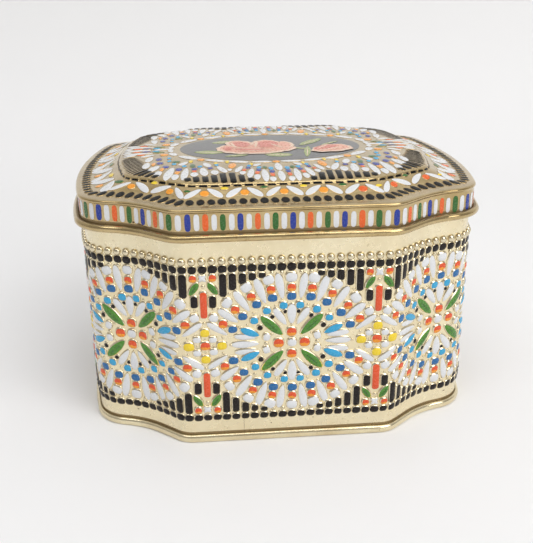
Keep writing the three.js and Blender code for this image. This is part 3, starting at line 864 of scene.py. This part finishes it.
# one quarter of the fans: ink, kind, x and y of both ends, width
for row in [
        # front fan
        (W, "egg", 0, -29.4, 0, -40.5, 2.6), (W, "egg", 0, -41, 0, -52.2, 2.4),
        (A, "round", 0, -25.7, 0, -28.7, 2.8), (W, "round", 3.2, -48.4, 3.2, -52.3, 2.4),
        (O, "round", 3.0, -43.9, 3.0, -47.8, 1.7),
        (R, "round", 2.9, -39.3, 2.9, -43.9, 2.0), (C, "round", 2.9, -35.2, 2.9, -39.4, 1.9),
        (G, "leaf", 4.9, -33.6, 4.9, -38.0, 1.7), (W, "egg", 5.6, -38.6, 5.6, -52.0, 2.3),
        (W, "round", 8.1, -44.9, 8.5, -50.8, 2.4), (O, "round", 7.8, -40.9, 8.2, -44.8, 1.7),
        (R, "round", 7.1, -37.3, 7.5, -40.9, 1.9), (C, "round", 6.9, -34.2, 7.1, -37.3, 1.8),
        (W, "egg", 9.4, -37.0, 11.0, -48.7, 2.2), (W, "round", 12.8, -40.4, 13.3, -44.6, 2.2),
        (O, "round", 12.1, -37.3, 12.5, -40.3, 1.5), (R, "round", 10.5, -34.1, 10.9, -37.3, 1.7),
        (C, "round", 10.2, -31.3, 10.5, -34.2, 1.6), (W, "egg", 12.9, -32.8, 15.3, -41.5, 2.0),
        (A, "leaf", 15.6, -27.6, 16.7, -36.0, 2.9), (W, "round", 17.4, -36.4, 17.4, -39.6, 1.5),
        (Y, "round", 9.3, -28.7, 9.5, -31.8, 1.3), (Y, "round", 17.8, -23.5, 17.8, -27.2, 1.4),
        (W, "egg", 5.8, -30.0, 8.7, -33.4, 2.2), (W, "round", 1.4, -27.0, 9.4, -26.9, 2.9),
        (W, "round", 10.2, -26.9, 17.2, -24.7, 3.0), (W, "round", 18.6, -24.6, 26.0, -21.0, 3.3),
        # corner fan
        (W, "egg", 21.6, -31.8, 18.8, -41.6, 2.4), (W, "round", 22.8, -37.9, 22.5, -43.8, 2.8),
        (R, "round", 24.1, -33.2, 24.1, -35.9, 2.0), (W, "egg", 27.0, -33.4, 26.1, -44.9, 2.8),
        (W, "round", 29.8, -39.7, 29.8, -45.2, 2.8), (O, "round", 29.7, -37.0, 29.7, -39.6, 1.8),
        (R, "round", 29.7, -33.3, 29.7, -36.8, 2.1), (G, "leaf", 30.5, -27.0, 30.3, -33.0, 2.0),
        (C, "round", 27.8, -30.1, 27.8, -33.2, 1.9), (C, "round", 33.4, -28.8, 33.4, -32.0, 1.8),
        (C, "round", 21.8, -28.7, 21.8, -31.6, 1.6), (W, "egg", 32.6, -33.5, 33.5, -48.3, 2.5),
        (W, "round", 36.2, -41.3, 36.3, -47.2, 2.7), (A, "round", 35.6, -37.2, 35.7, -41.0, 1.9),
        (R, "round", 35.1, -32.5, 35.2, -37.0, 2.5), (W, "egg", 37.4, -31.7, 39.5, -46.2, 2.9),
        (W, "round", 42.0, -35.9, 42.7, -42.6, 2.7), (A, "round", 41.0, -31.6, 41.3, -36.0, 1.6),
        (R, "round", 39.8, -28.0, 39.9, -32.4, 2.5), (C, "round", 37.0, -24.7, 37.1, -28.1, 1.8),
        (G, "round", 36.4, -21.0, 36.6, -24.6, 3.2), (W, "egg", 42.6, -27.9, 45.5, -36.0, 3.1),
        (R, "round", 42.2, -21.9, 42.4, -26.2, 2.4), (A, "round", 44.4, -23.0, 44.6, -27.6, 1.4),
        (C, "round", 39.0, -19.6, 39.1, -22.9, 1.7), (C, "round", 39.2, -14.8, 39.2, -18.2, 1.7),
        (R, "round", 43.0, -15.4, 43.1, -19.7, 2.2), (A, "round", 41.3, -7.9, 41.3, -11.9, 3.2),
        (A, "round", 27.4, -18.6, 27.4, -22.4, 2.8), (Y, "round", 22.2, -26.0, 22.2, -28.6, 1.4),
        (Y, "round", 31.0, -21.2, 31.2, -24.8, 1.5), (W, "egg", 26.2, -25.8, 24.5, -32.6, 2.6),
        (W, "egg", 32.4, -23.6, 35.0, -28.8, 2.4), (W, "round", 29.0, -19.6, 35.6, -12.9, 3.5),
        (W, "egg", 46.9, -22.2, 47.3, -31.5, 2.7), (W, "egg", 46.0, -12.6, 47.0, -21.2, 2.6),
        # side fan
        (W, "egg", 46.4, 0, 57.8, 0, 2.4), (W, "egg", 38.0, 0, 45.6, 0, 2.4),
        (W, "round", 54.2, -3.2, 57.7, -3.2, 2.4), (O, "round", 50.4, -3.0, 54.0, -3.1, 1.7),
        (R, "round", 46.6, -2.9, 50.2, -2.9, 2.0), (C, "round", 43.2, -2.7, 46.5, -2.8, 1.9),
        (W, "egg", 45.8, -5.7, 57.2, -6.2, 2.3), (W, "round", 52.0, -8.7, 56.9, -9.2, 2.3),
        (O, "round", 48.6, -8.3, 51.8, -8.6, 1.6), (G, "leaf", 41.5, -5.0, 46.0, -5.3, 1.8),
        (W, "egg", 45.0, -9.4, 50.2, -12.2, 2.2), (W, "round", 36.9, -12.2, 38.9, -6.4, 2.9),
        (W, "round", 38.9, -5.6, 39.3, -0.6, 2.2)]:
    strip(*row)
for x, y_in, y_out in [(10.5, -48.7, -52.3), (13.5, -44.7, -52.3), (16.6, -41.9, -52.3), (19.7, -42.3, -52.2),
                       (22.8, -44.2, -52.1), (25.8, -45.3, -51.7), (28.9, -45.5, -51.0), (31.8, -46.3, -49.9)]:
    strip(K, "bar", x + 0.35, y_in, x, y_out, 2.25)
# blocks and fine hatching at the corners: distance along the panel's outline, reach, width
SIDE_BARS = [(46.6, 3.2, 2.2), (49.6, 4.8, 2.2), (52.6, 6.4, 2.0), (55.2, 7.6, 1.5)]
SIDE_BARS += [(57.6 + 2.1 * i, 8.6 - 0.05 * (i - 3) ** 2, 0.42) for i in range(12)]
for along, reach, wide in SIDE_BARS:
    x, y, nx, ny = (float(c[0]) for c in PAN.at(np.array([along])))
    dx, dy = -0.3 * nx - 0.46, -0.3 * ny + 0.53
    ln = math.hypot(dx, dy)
    x, y = x - nx * 0.8, y - ny * 0.8
    strip(K, "bar", x + dx / ln * reach, y + dy / ln * reach, x, y, wide, 0.0 if wide < 1 else 0.16)

# ---- painted medallion
q = shape("round", MED_X - 0.4, MED_Y - 0.4, 96)
ks = (1.0, 0.85, 0.7, 0.55, 0.4, 0.2)
pts = np.concatenate([q * k for k in ks] + [np.zeros((1, 2))])
p, n = on_lid(pts[:, 0], pts[:, 1])
T["medallion"].add(p + n * 0.05, fan_faces(96, 6))
painted = []


def paint(ink, x, y, ang, kind, a, b):
    """A flat painted shape on the medallion; each one lies a hair above the one before."""
    painted.append(ink)
    ca, sa = math.cos(ang * RAD), math.sin(ang * RAD)
    o = shape(kind, a, b, 28)
    o = o * (1 + 0.06 * np.sin(np.arange(28) * 1.7 + x))[:, None]
    pts = np.concatenate([o, o * 0.8, o * 0.55, o * 0.3, np.zeros((1, 2))])
    wx = x + pts[:, 0] * ca - pts[:, 1] * sa
    wy = y + pts[:, 0] * sa + pts[:, 1] * ca
    pp, nn = on_lid(wx, wy)
    T[ink].add(pp + nn * (0.08 + 0.005 * len(painted)), fan_faces(28, 4))


LEAVES = [(-18.4, 11.6, 15, 4.6, 2.6), (-24.4, -7.6, -12, 5.6, 3.0), (2.0, -15.6, -8, 5.2, 3.2),
          (13.6, -10.8, 82, 9.6, 1.3), (11.3, -4.3, -35, 4.4, 1.1), (17.2, 7.9, 52, 8.4, 2.2),
          (24.5, 4.2, 42, 5.3, 0.9), (-14.0, -15.2, 12, 4.6, 1.6)]
for x, y, ang, a, b in LEAVES:
    paint("rose_leaf", x, y, ang, "leaf", a, b)
    paint("rose_cream", x, y, ang, "leaf", 0.8 * a, 0.12 * b)
paint("rose_light", -6.2, -0.4, 0, "round", 12.6, 10.2)
# large rose: outer petals (cream edge under a peach face), upper petals, heart, pale folds
for x, y, ang, a, b in [(-16.6, -1.5, 78, 6.8, 4.6), (-13.0, -7.4, 152, 7.6, 4.6), (-3.5, -9.4, 6, 8.2, 4.0),
                        (4.6, -5.4, 42, 6.6, 4.2), (6.6, 3.4, 96, 6.4, 3.2), (-12.0, 7.0, 108, 6.6, 5.4),
                        (-1.4, 7.2, 70, 6.4, 5.6)]:
    paint("rose_cream", x, y, ang, "round", a, b)
    paint("rose_light", x * 0.96 - 0.25, y * 0.92 + 0.5, ang, "round", a * 0.9, b * 0.76)
for x, y, ang, a, b in [(-11.4, 5.6, 104, 5.4, 3.6), (-0.6, 4.9, 78, 6.4, 4.4), (-8.4, -4.6, 165, 6.0, 2.4),
                        (-16.6, -2.4, 80, 3.4, 1.6)]:
    paint("rose_pink", x, y, ang, "round", a, b)
for x, y, ang, a, b in [(-14.4, 4.4, 98, 5.4, 0.5), (-5.2, 4.6, 84, 5.6, 0.6), (-8.6, -2.6, 172, 7.4, 0.6),
                        (2.6, 1.0, 112, 5.0, 0.5), (-6.0, -7.4, 4, 7.6, 0.5)]:
    paint("rose_cream", x, y, ang, "round", a, b)
# the bud, leaning to the right
paint("rose_cream", 23.4, -6.9, 32, "egg", 9.0, 6.6)
paint("rose_light", 23.2, -6.2, 34, "egg", 8.0, 5.2)
paint("rose_pink", 21.6, -4.4, 38, "round", 6.0, 2.9)
paint("rose_cream", 23.0, -7.6, 30, "round", 6.4, 0.6)
paint("rose_cream", 20.4, -3.6, 52, "round", 4.0, 0.45)

for name, layer in T.items():
    layer.build("lid_top_" + name, T_INK[name], "lid", "lid_tinplate")

# ---- hinge
WIRE_END, WIRE_R = 32.4, 0.6
n_w = 28
wire_pts, wire_f = [], []
for x, r in ((-WIRE_END, 0.75 * WIRE_R), (0.2 - WIRE_END, WIRE_R), (WIRE_END - 0.2, WIRE_R),
             (WIRE_END, 0.75 * WIRE_R)):
    for i in range(n_w):
        a = i / n_w * 2 * math.pi
        wire_pts.append((x, HY + CO + r * math.cos(a), CZ + r * math.sin(a)))
for k in range(3):
    for i in range(n_w):
        j = (i + 1) % n_w
        wire_f.append((k * n_w + i, k * n_w + j, (k + 1) * n_w + j, (k + 1) * n_w + i))
wire_f.append(tuple(range(n_w)))
wire_f.append(tuple(reversed(range(3 * n_w, 4 * n_w))))
wire = make_object("hinge_wire_round", wire_pts, face_out(wire_pts, wire_f), [M_WIRE], "lid")
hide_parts("hinge_wire")

# a tongue's profile: up the wall's back, round the wire, and back down inside itself
front = [(0.7, 66.5), (0.7, 70.0), (0.7, 74.2), (0.78, 74.6), (1.1, 75.1), (1.2, 75.6)]
front += arc(CO, CZ, CI, 180, -110, 34)
back = arc(CO, CZ, CR, -110, 180, 34)
back += [(0.8, 75.6), (0.7, 75.3), (0.4, 74.8), (0.3, 74.4), (0.3, 70.0), (0.3, 66.5)]
prof = front + back
n_p = len(prof)
n_f = len(front)
for side, nm in ((-1, "left"), (1, "right")):
    vv, ff = [], []
    half = TONGUE_W / 2
    xs = [side * TONGUE_X + d for d in (-half, -half + 0.2, half - 0.2, half)]
    for k, x in enumerate(xs):
        for o, z in prof:
            zz = z + (0.35 if (k in (0, 3) and z < 66.6) else 0)
            vv.append((x, HY + o, zz))
    for k in range(3):
        for i in range(n_p):
            j = (i + 1) % n_p
            ff.append((k * n_p + i, k * n_p + j, (k + 1) * n_p + j, (k + 1) * n_p + i))
    for k in (0, 3):
        for i in range(n_f - 1):
            quad = (k * n_p + i, k * n_p + i + 1, k * n_p + n_p - 2 - i, k * n_p + n_p - 1 - i)
            ff.append(quad if k == 0 else tuple(reversed(quad)))
    t = make_object("tongue_" + nm, vv, face_out(vv, ff), [M_GOLD_BASE], "tin")
    md = t.modifiers.new("edge", "EDGE_SPLIT")
    md.split_angle = 0.9
    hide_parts("hinge_tongue_" + nm)

# ---- stage, light and camera
fm = bpy.data.materials.new("floor")
fm.use_nodes = True
fb = fm.node_tree.nodes["Principled BSDF"]
fb.inputs["Roughness"].default_value = 0.75
ft = fm.node_tree
f_pos = ft.nodes.new("ShaderNodeTexCoord")
f_sep = ft.nodes.new("ShaderNodeSeparateXYZ")
f_map = ft.nodes.new("ShaderNodeMapRange")
f_map.inputs["From Max"].default_value = 0.4      # the wall behind is a little darker than the floor
f_mix = ft.nodes.new("ShaderNodeMix")
f_mix.data_type = "RGBA"
f_mix.inputs[6].default_value = (0.90, 0.90, 0.91, 1)
f_mix.inputs[7].default_value = (0.70, 0.695, 0.68, 1)
ft.links.new(f_pos.outputs["Object"], f_sep.inputs[0])
ft.links.new(f_sep.outputs["Z"], f_map.inputs["Value"])
ft.links.new(f_map.outputs["Result"], f_mix.inputs["Factor"])
ft.links.new(f_mix.outputs[2], fb.inputs["Base Color"])
FLOOR_HALF, BEND_Y, BEND_R, BACK_TOP = 2.5, 0.30, 0.22, 2.0     # metres, like all of the stage
sweep = [(-FLOOR_HALF, 0.0), (BEND_Y, 0.0)]
sweep += [(BEND_Y + BEND_R * math.sin(a * RAD), BEND_R - BEND_R * math.cos(a * RAD)) for a in range(10, 91, 10)]
sweep += [(BEND_Y + BEND_R, BACK_TOP)]
me = bpy.data.meshes.new("floor")
me.from_pydata([(x, y, z) for y, z in sweep for x in (-FLOOR_HALF, FLOOR_HALF)], [],
               [(2 * i, 2 * i + 1, 2 * i + 3, 2 * i + 2) for i in range(len(sweep) - 1)])
me.polygons.foreach_set("use_smooth", [True] * len(me.polygons))
me.materials.append(fm)
floor = bpy.data.objects.new("floor", me)
link(floor)

world = bpy.data.worlds.new("studio")
bpy.context.scene.world = world
world.use_nodes = True
wt = world.node_tree
bg = wt.nodes["Background"]
bg.inputs["Strength"].default_value = 1.0
tc = wt.nodes.new("ShaderNodeTexCoord")
sep = wt.nodes.new("ShaderNodeSeparateXYZ")
wt.links.new(tc.outputs["Generated"], sep.inputs[0])
ramp = wt.nodes.new("ShaderNodeValToRGB")
ramp.color_ramp.elements[0].position = 0.42
ramp.color_ramp.elements[0].color = (0.34, 0.335, 0.33, 1)
ramp.color_ramp.elements[1].position = 0.82
ramp.color_ramp.elements[1].color = (0.85, 0.85, 0.85, 1)
mr = wt.nodes.new("ShaderNodeMapRange")
mr.inputs["From Min"].default_value = -1.0
mr.inputs["From Max"].default_value = 1.0
wt.links.new(sep.outputs["Y"], mr.inputs["Value"])
wt.links.new(mr.outputs["Result"], ramp.inputs["Fac"])
wt.links.new(ramp.outputs["Color"], bg.inputs["Color"])


def area(name, loc, target, sx, sy, power, color):
    """A rectangular lamp, in metres and watts, turned to face a target."""
    d = bpy.data.lights.new(name, "AREA")
    d.shape = "RECTANGLE"
    d.size, d.size_y, d.energy, d.color = sx, sy, power, color
    o = bpy.data.objects.new(name, d)
    o.location = loc
    o.rotation_euler = (Vector(target) - Vector(loc)).to_track_quat("-Z", "Y").to_euler()
    link(o)


area("window", (1.20, -1.55, 1.25), (0, 0, 0.04), 1.6, 1.6, 21.5, (1.0, 0.985, 0.96))
area("overhead", (0.1, 0.0, 2.0), (0, 0, 0.0), 3.0, 3.0, 11, (0.97, 0.985, 1.0))
area("strip", (0.0, -0.62, 1.5), (0, 0, 0.05), 2.4, 0.35, 8.5, (1.0, 1.0, 1.0))
bpy.context.scene.view_settings.view_transform = "Standard"

# the camera fitted to the photo: turned round the tin by YAW, looking down by EL, shifted by TX and TY
YAW, EL, ROLL = 4.41 * RAD, 20.44 * RAD, 0.74 * RAD
DIST, TX, TY, AIM_Z = 265.6, -7.0, 17.3, 45.0
SENSOR_MM, FOCAL_BY_HEIGHT = 36, 780.2 / 543
cx, cyy = TX, -DIST * math.cos(EL) + TY * math.sin(EL)
cz = DIST * math.sin(EL) + TY * math.cos(EL) + AIM_Z
R = Vector((math.cos(YAW), -math.sin(YAW), 0))
F = Vector((math.cos(EL) * math.sin(YAW), math.cos(EL) * math.cos(YAW), -math.sin(EL)))
U = Vector((math.sin(EL) * math.sin(YAW), math.sin(EL) * math.cos(YAW), math.cos(EL)))
right = R * math.cos(ROLL) - U * math.sin(ROLL)
up = R * math.sin(ROLL) + U * math.cos(ROLL)
cam = bpy.data.cameras.new("camera")
cam.sensor_width = SENSOR_MM
cam.lens = FOCAL_BY_HEIGHT * SENSOR_MM
cam_ob = bpy.data.objects.new("camera", cam)
loc = MM * Vector((cx * math.cos(YAW) + cyy * math.sin(YAW),
                   -cx * math.sin(YAW) + cyy * math.cos(YAW) - HY, cz))
m = Matrix((right, up, -F)).transposed().to_4x4()
m.translation = loc
cam_ob.matrix_world = m
cam.clip_start = 0.01
link(cam_ob)
bpy.context.scene.camera = cam_ob
